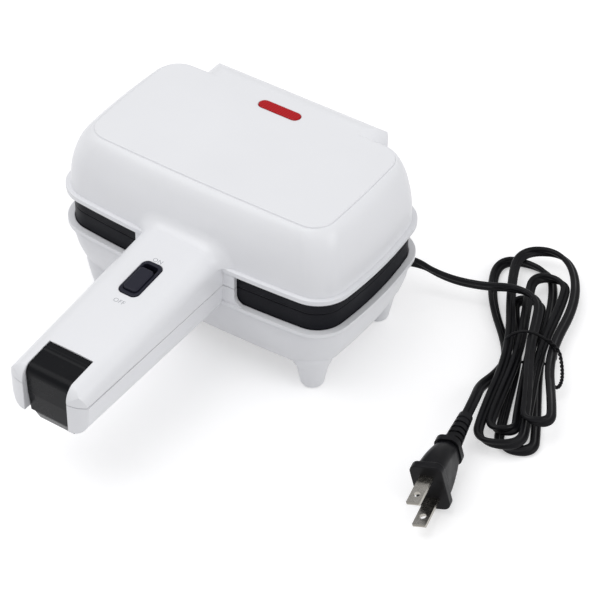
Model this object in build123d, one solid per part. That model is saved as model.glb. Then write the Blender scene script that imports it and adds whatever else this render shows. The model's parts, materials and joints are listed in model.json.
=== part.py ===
from build123d import *
import math
import os

# A small sandwich iron: a white clam of two moulded shells round two cast plates,
# hinged at the back, with a split handle at the front that a black latch holds shut.
# Millimetres. X runs along the long side, the handle points to -Y, Z is up and the
# feet stand on Z = 0. Lengths in Y are first measured from the middle of the body
# and moved to the part's origin, the middle of its footprint, as they are written out.

# Overall
handle_reach = 145.2  # from the body's middle to the handle's end face
back_reach = 54.0  # from the body's middle to the back of the hinge hood
body_y = (handle_reach - back_reach) / 2

# Heights
parting_z = 52.0  # where the two halves meet
parting_gap = 0.3
lower_rim_z = 43.0  # top of the lower shell's rim
upper_rim_z = 60.2  # underside of the upper shell's rim
plateau_z = 92.6  # the lid's flat top, without its raised field
field_rise = 0.8
floor_z = 10.0  # underside of the lower shell's bowl
handle_bottom_z = 36.6

# The shells' rim, seen from above
rim_half_x = 75.0
rim_half_y = 41.5
rim_corner = 17.5
rim_bulge = 3.9  # how far each side swells at its middle
rim_lip = 2.2  # how far the rim stands out from the wall
rim_lip_height = 2.2
shell_wall = 2.2
rim_land = 3.0  # the rim's shelf outside the plate

# The lid's top
plateau_half_x = rim_half_x - 10.0
plateau_half_y = rim_half_y - 6.9
plateau_corner = 11.5
plateau_bulge = 1.0
plateau_shift = 3.2
field_inset = 0.9

# The bowl's underside
floor_half_x = rim_half_x - 14.0
floor_half_y = rim_half_y - 12.5
floor_corner = 13.0
floor_bulge = 2.0

# Feet
foot_x = rim_half_x - 15.5
foot_y = rim_half_y - 13.9
foot_radius = 5.4
foot_top_radius = 8.6
foot_round = 2.6
foot_leg = floor_z + 8.0  # a leg runs this far up into the bowl

# Cast plates
plate_wall = 2.4
pocket_half_x = rim_half_x - 11.0
pocket_half_y = rim_half_y - 9.5
pocket_corner = 14.0
pocket_depth = 13.0
pocket_draft = 3.0
crimp_height = 0.8
crimp_width = 1.4
crimp_inset = 0.8  # from the pocket's edge to the crimping bead
plate_clearance = 0.3
plate_seat = 2.0  # how deep a plate stands in its shell
pocket_clearance = 0.6  # from the outside of a pocket to the screw pillars

# Heating
heater_radius = 3.0
heater_half_x = pocket_half_x - 18.0
heater_half_y = pocket_half_y - 13.0
heater_bend = 12.0
heater_end_x = 12.0
heater_pin_reach = 6.2
heater_gap = 0.15
post_x = 30.0
post_radius = 4.0
shield_drop = 9.0  # from the plate's back to the heat shield
shield_thick = 1.0
shield_half_x = pocket_half_x - 10.0
shield_half_y = pocket_half_y - 7.0
shield_rim = 4.0
fuse_x = 26.0
fuse_y = 8.0
fuse_radius = 2.0
thermostat_height = 14.0
thermostat_tab_x = 3.6

# Handle
handle_start = 34.0  # where its form starts, inside the body
handle_half_width = 21.8
handle_tip_half_width = 21.3
handle_side = 20.0  # depth of side wall over which the draft is measured
handle_draft = 1.0
handle_edge = 9.0
handle_lower_edge = 7.0
handle_crown = 0.9
handle_corner = 10.0  # the end's corners, seen from above
handle_tip_round = 8.0  # how the top rolls over into the end face
handle_top_z = 66.7  # at the switch
handle_slope = 0.104  # how fast the top falls towards the tip
handle_wall = 2.2
root_half_width = 27.5
cover_thick = 1.8
cover_gap = 0.2

# Switch
switch_y = 76.0
switch_width = 10.4
switch_length = 21.8
switch_corner = 3.0
switch_travel = 3.0
switch_gap = 0.3
switch_proud = 0.5  # the bezel above the handle's top
switch_frame_side = 1.2
switch_frame_end = 1.9
switch_pad_proud = 1.5
switch_tab_y = 4.0  # from the case's middle to each terminal

# Latch
latch_half_width = 11.5
latch_gap = 0.35
knuckle_radius = 3.4
latch_pin_radius = 1.1
latch_pin_gap = 0.05
latch_pivot_y = handle_reach - 15.9
latch_thick = 2.4
latch_back = 3.3  # its top plate behind the pin
latch_set_back = 2.2  # its face behind the handle's end face
latch_crease = 4.5
latch_face_z = 34.0  # where its full width ends
latch_lip_z = 27.8
latch_lip_half_width = 9.4
latch_pin_half_length = 16.0
nib_z = 45.0

# Hinge
hinge_z = 52.0
hinge_y = back_reach - 7.2
hinge_pin_radius = 2.0
hinge_pin_gap = 0.05
lug_radius = 4.6
lug_x = 34.0
lug_width = 8.0
lid_lug_width = 7.0
lug_gap = 0.4
hood_half_width = 50.8
hood_corner = 12.0
hood_round = 12.0
hood_side_round = 12.0
hood_bottom_z = 53.2

# Lamp
lamp_y = 32.0
lamp_length = 22.6
lamp_width = 6.0
lamp_gap = 0.15
lamp_proud = 0.5
holder_wall = 1.2
holder_depth = 9.2
neon_radius = 2.2

# Screws
screw_radius = 1.5
screw_head_radius = 2.8
screw_gap = 0.1
corner_screw_x = rim_half_x - 10.7
corner_screw_y = rim_half_y - 9.7
pillar_radius = 4.6
boss_radius = 3.4

# Lead: it leaves the back wall through a bush that points to the right
cord_radius = 2.0
bush_x = 44.0
bush_y = rim_half_y - 4.1
bush_z = 17.0
bush_turn = 40.0
bush_length = 15.0
bush_radius = 4.2
bush_tip_radius = 3.0
bush_gap = 0.1
bush_seat = 5.2  # how far inside its middle the bush's flange lies
bush_flange_radius = 5.6
bush_flange_thick = 1.4
outlet_radius = 7.0
cord_gap = 0.1
clamp_y = 15.0  # along the lead, from the bush's middle to the clamp's
clamp_width = 6.0
clamp_half_length = 7.0
clamp_thick = 2.6
clamp_screw_x = 4.8
terminal_near = 21.0
terminal_far = 31.0
wire_radius = 0.9

# Hank: its waist's place, its lean and its layers
waist_x = 135.7
waist_y = 38.9
hank_lean = 25.4
layer_pitch = 4.85
waist_rise = 2.2
column_pitch = 4.6
tie_radius = 0.8

# Plug
plug_x = 146.2
plug_y = -66.6
plug_z = 13.4
plug_lean = 12.0
plug_roll = 15.0
plug_half_height = 12.2
plug_half_width = 7.6
plug_length = 26.0
neck_length = 22.0
neck_radius = 4.6
blade_spacing = 12.7
blade_width = 6.35
blade_thick = 1.5
blade_length = 17.5
blade_hole = 11.7  # from the plug's face to the blade's hole

upper_face_z = parting_z + parting_gap / 2
lower_face_z = parting_z - parting_gap / 2
plate_half_x = rim_half_x - rim_land - plate_clearance
plate_half_y = rim_half_y - rim_land - plate_clearance
plate_corner = rim_corner - rim_land - plate_clearance


def between(start, end, share):
    return start + (end - start) * share


def outline(half_x, half_y, corner, bulge, middle_y=0.0):
    """A rounded rectangle whose four sides swell outward."""
    front = ThreePointArc((-half_x, -half_y), (0, -half_y - bulge), (half_x, -half_y))
    right = ThreePointArc((half_x, -half_y), (half_x + bulge, 0), (half_x, half_y))
    back = ThreePointArc((half_x, half_y), (0, half_y + bulge), (-half_x, half_y))
    left = ThreePointArc((-half_x, half_y), (-half_x - bulge, 0), (-half_x, -half_y))
    face = make_face(front + right + back + left)
    return Pos(0, middle_y) * fillet(face.vertices(), corner)


def prism(face, low_z, high_z):
    return extrude(Pos(0, 0, low_z) * face, amount=high_z - low_z, dir=(0, 0, 1))


def box_between(x, y, z):
    """A box from three pairs of limits."""
    size = [side[1] - side[0] for side in (x, y, z)]
    middle = [(side[1] + side[0]) / 2 for side in (x, y, z)]
    return Pos(*middle) * Box(*size)


def post(x, y, radius, low_z, high_z):
    return Pos(x, y, (low_z + high_z) / 2) * Cylinder(radius, high_z - low_z)


def swell(start, end, start_z, end_z, last_angle, inset):
    """A domed body: outlines drawn in along a quarter ellipse from one height to another."""
    sections = []
    for step in range(6):
        angle = math.radians(last_angle * step / 5)
        share_in = (1 - math.cos(angle)) / (1 - math.cos(math.radians(last_angle)))
        share_up = math.sin(angle) / math.sin(math.radians(last_angle))
        half_x, half_y, corner, bulge, middle_y = [
            between(a, b, share_in) for a, b in zip(start, end)
        ]
        face = outline(half_x - inset, half_y - inset, corner - inset, bulge, middle_y)
        sections.append(Pos(0, 0, between(start_z, end_z, share_up)) * face)
    return loft(sections)


def across(face, half_width):
    return extrude(face, amount=half_width, both=True, dir=(1, 0, 0))


def handle_top(y):
    """The height of the handle's top, y from the body's middle and negative."""
    return handle_top_z + handle_slope * (y + switch_y)


def handle_section(y, half_width, flat_z, far_z, corner, crown):
    """A section across one handle half: flat at the parting, round at the far edges."""
    narrow = half_width - handle_draft
    flat = Line((-half_width, flat_z), (half_width, flat_z))
    right = Line((half_width, flat_z), (narrow, far_z))
    far = ThreePointArc((narrow, far_z), (0, far_z + crown), (-narrow, far_z))
    left = Line((-narrow, far_z), (-half_width, flat_z))
    face = make_face(flat + right + far + left)
    corners = face.vertices().sort_by(Axis.Y)
    far_corners = corners[-2:] if far_z > flat_z else corners[:2]
    face = fillet(far_corners, corner)
    return Plane(origin=(0, y, 0), x_dir=(1, 0, 0), z_dir=(0, -1, 0)) * face


def handle_plan(inset):
    """The handle seen from above, with its rounded end."""
    half = handle_half_width + 4 - inset
    length = handle_reach - inset - 30
    face = Pos(0, -30 - length / 2) * Rectangle(2 * half, length)
    ends = face.vertices().sort_by(Axis.Y)[:2]
    return fillet(ends, handle_corner + 4 - inset)


dome_foot_z = upper_rim_z + rim_lip_height
bowl_top_z = lower_rim_z - rim_lip_height
shoulder_angle = 78.0
bowl_angle = 70.0
root_blend = 7.0
wall_foot = (rim_half_x - rim_lip, rim_half_y - rim_lip, rim_corner - rim_lip, rim_bulge, 0.0)
lid_top = (plateau_half_x, plateau_half_y, plateau_corner, plateau_bulge, plateau_shift)
bowl_floor = (floor_half_x, floor_half_y, floor_corner, floor_bulge, 0.0)
latch_notch = latch_half_width + latch_gap
notch_back_y = -latch_pivot_y + latch_back + latch_gap + 0.05
latch_swing = math.hypot(latch_back, knuckle_radius + 0.1)  # the top plate's back edge
catch_y = 8.0 - handle_reach
cavity_end_y = notch_back_y + handle_wall + 1.0
lower_cavity_end_y = catch_y + handle_wall
cavity_root_y = -47.6
cover_screw_y = (-54.0, 33.2 - handle_reach)
top_z = plateau_z + field_rise
ceiling_z = plateau_z - shell_wall
lamp_low_z = ceiling_z - 3.0
lamp_flange_thick = 1.2
hinge_pin_half = (lug_width + 2 * lug_gap + 2 * lid_lug_width) / 2 - 0.5


def lid_dome(inset):
    return swell(wall_foot, lid_top, dome_foot_z, plateau_z - inset, shoulder_angle, inset)


def bowl(inset):
    return swell(wall_foot, bowl_floor, bowl_top_z, floor_z + inset, bowl_angle, inset)


def seat_outline():
    """The opening in each shell that takes a plate."""
    return outline(
        rim_half_x - rim_land, rim_half_y - rim_land, rim_corner - rim_land, rim_bulge
    )


def foot_outline(inset):
    half_x, half_y, corner, bulge, middle_y = wall_foot
    return outline(half_x - inset, half_y - inset, corner - inset, bulge)


def root_wall(low_z, high_z):
    """The wall that closes the gap between rim and parting where the handle starts."""
    set_back = 0.9
    outer = outline(
        rim_half_x - set_back, rim_half_y - set_back, rim_corner - set_back, rim_bulge
    )
    ring = prism(outer, low_z, high_z) - prism(seat_outline(), low_z - 1, high_z + 1)
    reach = (-root_half_width, root_half_width)
    return ring & box_between(reach, (-60, 0), (low_z, high_z))


def handle_half(face_z, root_z, tip_z, edge, crown, inset):
    """One half of the handle, tapering to the tip, with the end's rounded corners."""
    direction = 1 if root_z > face_z else -1
    ends = (
        (-handle_start, handle_half_width, root_z),
        (-handle_reach, handle_tip_half_width, tip_z),
    )
    sections = []
    for y, half_width, height in ends:
        far_z = height - direction * inset
        side_z = far_z - direction * handle_side
        face = handle_section(y, half_width - inset, side_z, far_z, edge - inset, crown)
        sections.append(face)
    low_z, high_z = sorted((face_z, face_z + direction * 30))
    return loft(sections) & prism(handle_plan(inset), low_z, high_z)


def tip_profile(inset):
    """The upper half seen from the side, its top rolling over at the tip."""
    front = inset - handle_reach
    crown = handle_crown + 0.1 - inset
    tip = (front, handle_top(front) + crown)
    low = upper_face_z - 1
    face = make_face(Polyline((front, low), tip, (0, handle_top(0) + crown), (0, low), close=True))
    corner = face.vertices().sort_by(lambda v: abs(v.X - tip[0]) + abs(v.Y - tip[1]))[0]
    return Plane.YZ * fillet(corner, handle_tip_round - inset)


def upper_handle(inset):
    root_z = handle_top(-handle_start)
    tip_z = handle_top(-handle_reach)
    form = handle_half(upper_face_z, root_z, tip_z, handle_edge, handle_crown, inset)
    return form & across(tip_profile(inset), handle_half_width + 2)


def lower_handle(inset):
    level = handle_bottom_z
    return handle_half(lower_face_z, level, level, handle_lower_edge, -0.4, inset)


def handle_cavity(handle, end_y, z):
    """The hollow inside a handle half, between the body and the latch."""
    return handle & box_between((-30, 30), (end_y, cavity_root_y), z)


def screw_pillars(low_z, high_z):
    return [post(x, y, pillar_radius, low_z, high_z) for x, y in corner_places()]


def corner_places():
    return [
        (x, y)
        for x in (-corner_screw_x, corner_screw_x)
        for y in (-corner_screw_y, corner_screw_y)
    ]


def flush_screw(x, y, face_z, direction, length, gap=0.0):
    """A countersunk screw whose head is flush with face_z; with a gap, its hole."""
    head = screw_head_radius - screw_radius
    cone = Pos(0, 0, -head / 2) * Cone(screw_radius + gap, screw_head_radius + gap, head)
    shaft = Pos(0, 0, -(length + gap) / 2) * Cylinder(screw_radius + gap, length + gap)
    screw = cone + shaft
    if direction > 0:
        screw = Rot(180, 0, 0) * screw
    return Pos(x, y, face_z) * screw


def cross_slot(x, y, face_z, direction):
    """The driving cross in a screw's head."""
    blades = Box(3.2, 0.7, 1.4) + Box(0.7, 3.2, 1.4)
    return Pos(x, y, face_z) * blades


def screws(places, face_z, direction, length):
    """Countersunk screws driven in the direction given, as separate solids."""
    made = []
    for x, y in places:
        screw = flush_screw(x, y, face_z, direction, length)
        made.append(screw - cross_slot(x, y, face_z, direction))
    return made


def holes(places, face_z, direction, length):
    made = flush_screw(*places[0], face_z, direction, length, screw_gap)
    for x, y in places[1:]:
        made += flush_screw(x, y, face_z, direction, length, screw_gap)
    return made


corner_screw_length = 17.0
cover_screw_length = 9.0
cover_places = [(0.0, y) for y in cover_screw_y]


def hood_plan(inset):
    """The hood seen from above."""
    half = hood_half_width - inset
    back = back_reach - inset
    plan = Pos(0, (20 + back) / 2) * Rectangle(2 * half, back - 20)
    return fillet(plan.vertices().sort_by(Axis.Y)[-2:], hood_corner - inset)


def hood_form(inset):
    """The hood over the hinge, formed from its three views at once."""
    half = hood_half_width - inset
    back = back_reach - inset
    plan = hood_plan(inset)
    top = top_z - inset
    side = Pos((20 + back) / 2, (hood_bottom_z + top) / 2) * Rectangle(
        back - 20, top - hood_bottom_z + 2 * (1 if inset else 0)
    )
    if inset:
        side = Pos(0, -1) * side
    corner = side.vertices().sort_by(lambda v: v.X + v.Y)[-1:]
    side = Plane.YZ * fillet(corner, hood_round - inset)
    low = hood_bottom_z - (2 if inset else 0)
    front = Pos(0, (low + top) / 2) * Rectangle(2 * half, top - low)
    front = Plane.XZ * fillet(front.vertices().sort_by(Axis.Y)[-2:], hood_side_round - inset)
    form = prism(plan, low, top) & across(side, hood_half_width + 1)
    return form & extrude(front, amount=2 * back_reach, both=True, dir=(0, 1, 0))


def hood(dome):
    """The hinge hood, hollow, open below and notched for the lower shell's lugs."""
    shell = hood_form(0) - hood_form(shell_wall) - dome
    shell -= prism(seat_outline(), hood_bottom_z - 1, dome_foot_z + 0.01)
    notch = lug_width / 2 + lug_gap
    for side in (-1, 1):
        middle = side * lug_x
        shell -= box_between(
            (middle - notch, middle + notch), (hinge_y, back_reach + 2), (50, 58.6)
        )
    return shell


def lug_profile(radius, web):
    """A hinge lug's side view: an eye and the web that carries it."""
    eye = Pos(hinge_y, hinge_z) * Circle(radius)
    return Plane.YZ * (eye + make_face(Polyline(*web, close=True)))


def lid_lugs(dome):
    web = (
        (hinge_y - 4.0, hinge_z + 1.2),
        (hinge_y + 4.2, hinge_z - 0.6),
        (back_reach - 1.0, hood_bottom_z + 0.4),
        (back_reach - 1.0, 66.0),
        (hinge_y - 4.0, 66.0),
    )
    profile = lug_profile(lug_radius - 0.2, web)
    made = []
    for side in (-1, 1):
        for offset in (-1, 1):
            near = lug_width / 2 + lug_gap
            middle = side * lug_x + offset * (near + lid_lug_width / 2)
            slab = extrude(profile, amount=lid_lug_width / 2, both=True, dir=(1, 0, 0))
            made.append(Pos(middle, 0, 0) * slab)
    return made


def pin_hole(gap):
    reach = 2 * (hinge_pin_half + 0.1 + 3 * (gap > 0))
    hole = Rot(0, 90, 0) * Cylinder(hinge_pin_radius + gap, reach)
    return [Pos(side * lug_x, hinge_y, hinge_z) * hole for side in (-1, 1)]


switch_plane = Plane(
    origin=(0, -switch_y, handle_top_z + handle_crown - 0.1),
    x_dir=(1, 0, 0),
    z_dir=(0, -handle_slope, 1),
)


def switch_cut():
    """The slot in the handle's top that the switch's bezel fills."""
    slot = RectangleRounded(
        switch_width + 2 * switch_gap,
        switch_length + 2 * switch_gap,
        switch_corner + switch_gap,
    )
    return switch_plane * Pos(0, 0, -6) * extrude(slot, amount=10)


def upper_shell():
    """The lid: domed shell, handle half, hinge hood and lugs, moulded as one."""
    dome = lid_dome(0)
    body = dome + upper_handle(0)
    meeting = [
        edge
        for edge in body.edges()
        if edge.center().Y < -20 and dome_foot_z + 0.2 < edge.center().Z < plateau_z - 1
        and abs(edge.center().X) < root_half_width and edge.center().Y > -50
    ]
    body = fillet(meeting, root_blend)
    rim = outline(rim_half_x, rim_half_y, rim_corner, rim_bulge)
    body += prism(rim, upper_rim_z, dome_foot_z)
    field = outline(
        plateau_half_x - field_inset,
        plateau_half_y - field_inset,
        plateau_corner - field_inset,
        plateau_bulge,
        plateau_shift,
    )
    raised = prism(field, plateau_z - 1, top_z)
    raised = fillet(raised.faces().sort_by(Axis.Z)[-1].edges(), field_rise * 0.8)
    body += raised
    body += root_wall(upper_face_z, upper_rim_z + 0.1)

    body -= lid_dome(shell_wall)
    body -= prism(foot_outline(shell_wall), upper_rim_z + plate_seat - 0.1, dome_foot_z)
    body -= prism(seat_outline(), upper_face_z - 1, upper_rim_z + plate_seat)
    hollow = handle_cavity(upper_handle(handle_wall), cavity_end_y, (50, 90))
    body -= hollow
    body -= box_between((-9, 9), (cavity_root_y - 1, -33), (dome_foot_z + 0.8, 67.6))
    body += hood(dome)
    lug_limit = prism(hood_plan(0.2), hinge_z - 2 * lug_radius, top_z - 3)
    for lug in lid_lugs(dome):
        body += (lug & lug_limit) - lid_dome(shell_wall)
    for hole in pin_hole(hinge_pin_gap):
        body -= hole
    room = pocket(upper_face_z, 1, plate_wall + pocket_clearance)
    shoulder = prism(foot_outline(0), upper_rim_z + plate_seat, dome_foot_z + 0.01) + dome
    for pillar in screw_pillars(upper_rim_z + plate_seat, plateau_z - 1):
        body += (pillar & shoulder) - room
    boss_low = upper_face_z + cover_thick
    for x, y in cover_places:
        body += post(x, y, boss_radius, boss_low, handle_top_z + 6) & upper_handle(1)
    body -= holes(corner_places(), upper_face_z, 1, corner_screw_length)
    body -= holes(cover_places, upper_face_z, 1, cover_screw_length)
    notch_reach = (-handle_reach - 5, notch_back_y)
    body -= box_between((-latch_notch, latch_notch), notch_reach, (upper_face_z - 5, top_z))
    y, z = latch_pivot()
    body -= Pos(0, y, z) * Rot(0, 90, 0) * Cylinder(latch_swing + 0.2, 2 * latch_notch)
    body -= latch_pin_solid(0.0)
    body -= switch_cut()
    window = SlotOverall(lamp_length + 2 * lamp_gap, lamp_width + 2 * lamp_gap)
    body -= Pos(0, lamp_y) * prism(window, lamp_low_z - lamp_gap, top_z + 1)
    return body


def lower_shell():
    """The base: tapered bowl with moulded feet, handle half and hinge lugs."""
    outer = bowl(0)
    body = outer + lower_handle(0)
    for x in (-foot_x, foot_x):
        for y in (-foot_y, foot_y):
            leg = Pos(x, y, foot_leg / 2) * Cone(foot_radius, foot_top_radius, foot_leg)
            body += fillet(leg.edges().sort_by(Axis.Z)[0], foot_round)
    rim = outline(rim_half_x, rim_half_y, rim_corner, rim_bulge)
    body += prism(rim, bowl_top_z, lower_rim_z)
    body += root_wall(lower_rim_z - 0.1, lower_face_z)
    inner = bowl(shell_wall)
    body -= inner
    body -= prism(foot_outline(shell_wall), bowl_top_z, lower_rim_z - plate_seat + 0.1)
    body -= prism(seat_outline(), lower_rim_z - plate_seat, lower_face_z + 1)
    body -= handle_cavity(lower_handle(handle_wall), lower_cavity_end_y, (30, 60))
    web = (
        (hinge_y - 3.8, hinge_z),
        (hinge_y - 3.8, lower_rim_z - 0.5),
        (37.0, lower_rim_z - 0.5),
        (37.0, 33.0),
        (40.6, 31.0),
        (hinge_y + 2.6, lower_rim_z),
        (hinge_y + 3.8, hinge_z - 2.2),
    )
    profile = lug_profile(lug_radius, web)
    for side in (-1, 1):
        slab = extrude(profile, amount=lug_width / 2, both=True, dir=(1, 0, 0))
        body += Pos(side * lug_x, 0, 0) * slab - inner
    body -= prism(seat_outline(), lower_rim_z - plate_seat, lower_rim_z + 1)
    for hole in pin_hole(0.0):
        body -= hole
    room = pocket(lower_face_z, -1, plate_wall + pocket_clearance)
    for pillar in screw_pillars(28, lower_rim_z - plate_seat):
        body += (pillar & outer) - room
    boss_top = lower_face_z - cover_thick
    for x, y in cover_places:
        body += post(x, y, boss_radius, handle_bottom_z + 1, boss_top)
    body -= holes(corner_places(), lower_face_z, -1, corner_screw_length)
    body -= holes(cover_places, lower_face_z, -1, cover_screw_length)
    notch_reach = (-handle_reach - 5, catch_y)
    body -= box_between((-latch_notch, latch_notch), notch_reach, (20, lower_face_z + 1))
    body += box_between((-7, 7), (catch_y - 0.5, catch_y + 0.5), (47.2, 48.6))
    body += along_bush(-20, 2, outlet_radius, outlet_radius) - inner
    body -= along_bush(-20, -bush_seat, bush_flange_radius + 0.2, bush_flange_radius + 0.2)
    body -= along_bush(-20, 8, bush_radius + bush_gap, bush_radius + bush_gap)
    body += cord_saddle(inner)
    return body


def rounded_plate(half_x, half_y, corner):
    return outline(half_x, half_y, corner, 0.8)


def pocket(face_z, direction, extra):
    """A plate's drafted pocket; with extra, the outside of its wall."""
    top = rounded_plate(pocket_half_x + extra, pocket_half_y + extra, pocket_corner + extra)
    low = rounded_plate(
        pocket_half_x + extra - pocket_draft,
        pocket_half_y + extra - pocket_draft,
        pocket_corner + extra - pocket_draft,
    )
    depth = direction * (pocket_depth + extra)
    body = loft([Pos(0, 0, face_z) * top, Pos(0, 0, face_z + depth) * low])
    bottom = body.faces().sort_by(Axis.Z)[-1 if direction > 0 else 0]
    return fillet(bottom.edges(), 3.0 + extra / 2)


def crimp_ring(inset, width, low_z, high_z):
    half_x = pocket_half_x + inset
    half_y = pocket_half_y + inset
    corner = pocket_corner + inset
    outer = rounded_plate(half_x + width, half_y + width, corner + width)
    inner = rounded_plate(half_x, half_y, corner)
    return prism(outer, low_z, high_z) - prism(inner, low_z - 1, high_z + 1)


def plate(face_z, seat_z):
    """A cast plate: skirt, pocket, screw bosses and posts for the heat shield."""
    direction = 1 if seat_z > face_z else -1
    low_z, high_z = sorted((face_z, seat_z))
    body = prism(outline(plate_half_x, plate_half_y, plate_corner, rim_bulge), low_z, high_z)
    hollow = outline(
        plate_half_x - plate_wall, plate_half_y - plate_wall, plate_corner - plate_wall, rim_bulge
    )
    hollow_low, hollow_high = sorted((face_z + direction * plate_wall, seat_z + direction))
    skirt = prism(hollow, hollow_low, hollow_high)
    for x, y in corner_places():
        skirt -= post(x, y, 4.0, low_z - 5, high_z + 5)
    body -= skirt
    body += pocket(face_z, direction, plate_wall)
    back_z = face_z + direction * (pocket_depth + plate_wall)
    shield_z = back_z + direction * shield_drop
    post_low, post_high = sorted((back_z - direction * 0.5, shield_z))
    for x in (-post_x, post_x):
        body += post(x, 0, post_radius, post_low, post_high)
    body -= pocket(face_z, direction, 0)
    body -= holes(corner_places(), face_z, direction, corner_screw_length)
    tip = shield_z - direction * 6
    hole_low, hole_high = sorted((tip, shield_z + direction))
    for x in (-post_x, post_x):
        body -= post(x, 0, screw_radius + screw_gap, hole_low, hole_high)
    return body


def lower_plate():
    body = plate(lower_face_z, lower_rim_z - plate_seat)
    bead = crimp_ring(crimp_inset, crimp_width, lower_face_z - 0.5, lower_face_z + crimp_height)
    return body + bead


def upper_plate():
    body = plate(upper_face_z, upper_rim_z + plate_seat)
    side = 0.3
    groove = crimp_ring(
        crimp_inset - side, crimp_width + 2 * side, upper_face_z - 1, upper_face_z + crimp_height + side
    )
    return body - groove


def back_of(face_z, direction):
    return face_z + direction * (pocket_depth + plate_wall)


def heater(face_z, direction):
    """A sheathed element bent to a loop, with a cold pin at each end."""
    z = back_of(face_z, direction) + direction * (heater_radius + heater_gap)
    end_x = heater_end_x
    loop = FilletPolyline(
        (-end_x, heater_half_y, z),
        (-heater_half_x, heater_half_y, z),
        (-heater_half_x, -heater_half_y, z),
        (heater_half_x, -heater_half_y, z),
        (heater_half_x, heater_half_y, z),
        (end_x, heater_half_y, z),
        radius=heater_bend,
    )
    body = sweep(Plane(loop @ 0, z_dir=loop % 0) * Circle(heater_radius), path=loop)
    for side in (-1, 1):
        pin = Rot(0, 90, 0) * Cylinder(1.2, heater_pin_reach + 0.4)
        body += Pos(side * (end_x - heater_pin_reach / 2 + 0.2), heater_half_y, z) * pin
    return body


def heat_shield(face_z, direction):
    """A sheet pan behind the heater that throws its heat back to the plate."""
    near_z = back_of(face_z, direction) + direction * shield_drop
    far_z = near_z + direction * shield_thick
    low_z, high_z = sorted((near_z, far_z))
    rim_low, rim_high = sorted((near_z - direction * shield_rim, far_z))
    body = prism(RectangleRounded(2 * shield_half_x, 2 * shield_half_y, 8), rim_low, rim_high)
    inner_low, inner_high = sorted((near_z - direction * (shield_rim + 1), near_z))
    inside = RectangleRounded(
        2 * (shield_half_x - shield_thick), 2 * (shield_half_y - shield_thick), 8 - shield_thick
    )
    body -= prism(inside, inner_low, inner_high)
    for x in (-post_x, post_x):
        body -= post(x, 0, screw_radius + screw_gap, low_z - 1, high_z + 1)
    body -= post(0, 0, 9.4, low_z - 1, high_z + 1)
    for x in (-42, -18, 18, 42):
        for y in (-14, 14):
            body -= Pos(x, y, low_z - 1) * extrude(SlotOverall(12, 3), amount=shield_thick + 2)
    return body


def pan_screws(face_z, direction):
    """Pan-head screws that hold a heat shield to its plate's posts."""
    seat_z = back_of(face_z, direction) + direction * (shield_drop + shield_thick)
    made = []
    for x in (-post_x, post_x):
        head_low, head_high = sorted((seat_z, seat_z + direction * 1.6))
        shaft_low, shaft_high = sorted((seat_z + direction * 0.1, seat_z - direction * 5.5))
        head = post(x, 0, screw_head_radius, head_low, head_high)
        screw = head + post(x, 0, screw_radius, shaft_low, shaft_high)
        made.append(screw - Pos(x, 0, seat_z + direction * 1.6) * (Box(3.2, 0.7, 1.6) + Box(0.7, 3.2, 1.6)))
    return made


def thermostat():
    """A bimetal disc thermostat on the lower plate's back."""
    back = back_of(lower_face_z, -1)
    body = post(0, 0, 8.0, back - 4.0, back)
    body += post(0, 0, 6.6, back - 9.0, back - 4.0)
    for x in (-thermostat_tab_x, thermostat_tab_x):
        tab = box_between((x - 0.4, x + 0.4), (-3, 3), (back - thermostat_height, back - 9.0))
        body += tab
    return body


def thermal_fuse():
    """The one-shot fuse, strapped under the lower heat shield."""
    shield_low = back_of(lower_face_z, -1) - shield_drop - shield_thick
    z = shield_low - fuse_radius - 0.1
    place = Pos(-fuse_x, fuse_y, z) * Rot(0, 90, 0)
    fuse = place * (Cylinder(fuse_radius, 11) + Cylinder(0.6, 19))
    half = fuse_radius + 0.1
    x = (-fuse_x - 2, -fuse_x + 2)
    strap = box_between(x, (fuse_y - half - 0.9, fuse_y + half + 0.9), (z - half - 0.7, shield_low))
    strap -= place * Cylinder(half, 8)
    strap -= box_between((x[0] - 1, x[1] + 1), (fuse_y - half, fuse_y + half), (z, shield_low + 1))
    return fuse, strap


def handle_cover(handle, flat_z, direction, end_y):
    """The plate that closes a handle half along the parting face; it fits the hollow."""
    z = sorted((flat_z, flat_z + direction * cover_thick))
    y = (end_y + cover_gap, cavity_root_y - cover_gap)
    body = handle & box_between((-30, 30), y, z)
    return body - holes(cover_places, flat_z, direction, cover_screw_length)


def latch_pivot():
    return (-latch_pivot_y, handle_top(-latch_pivot_y) + 0.5 - knuckle_radius)


def latch_pin_solid(gap):
    y, z = latch_pivot()
    pin = Rot(0, 90, 0) * Cylinder(latch_pin_radius + gap, 2 * (latch_pin_half_length + gap))
    return Pos(0, y, z) * pin


def latch_top(y):
    """The height of the latch's top plate, just under the handle's crown."""
    return handle_top(y) + 0.25


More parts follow.
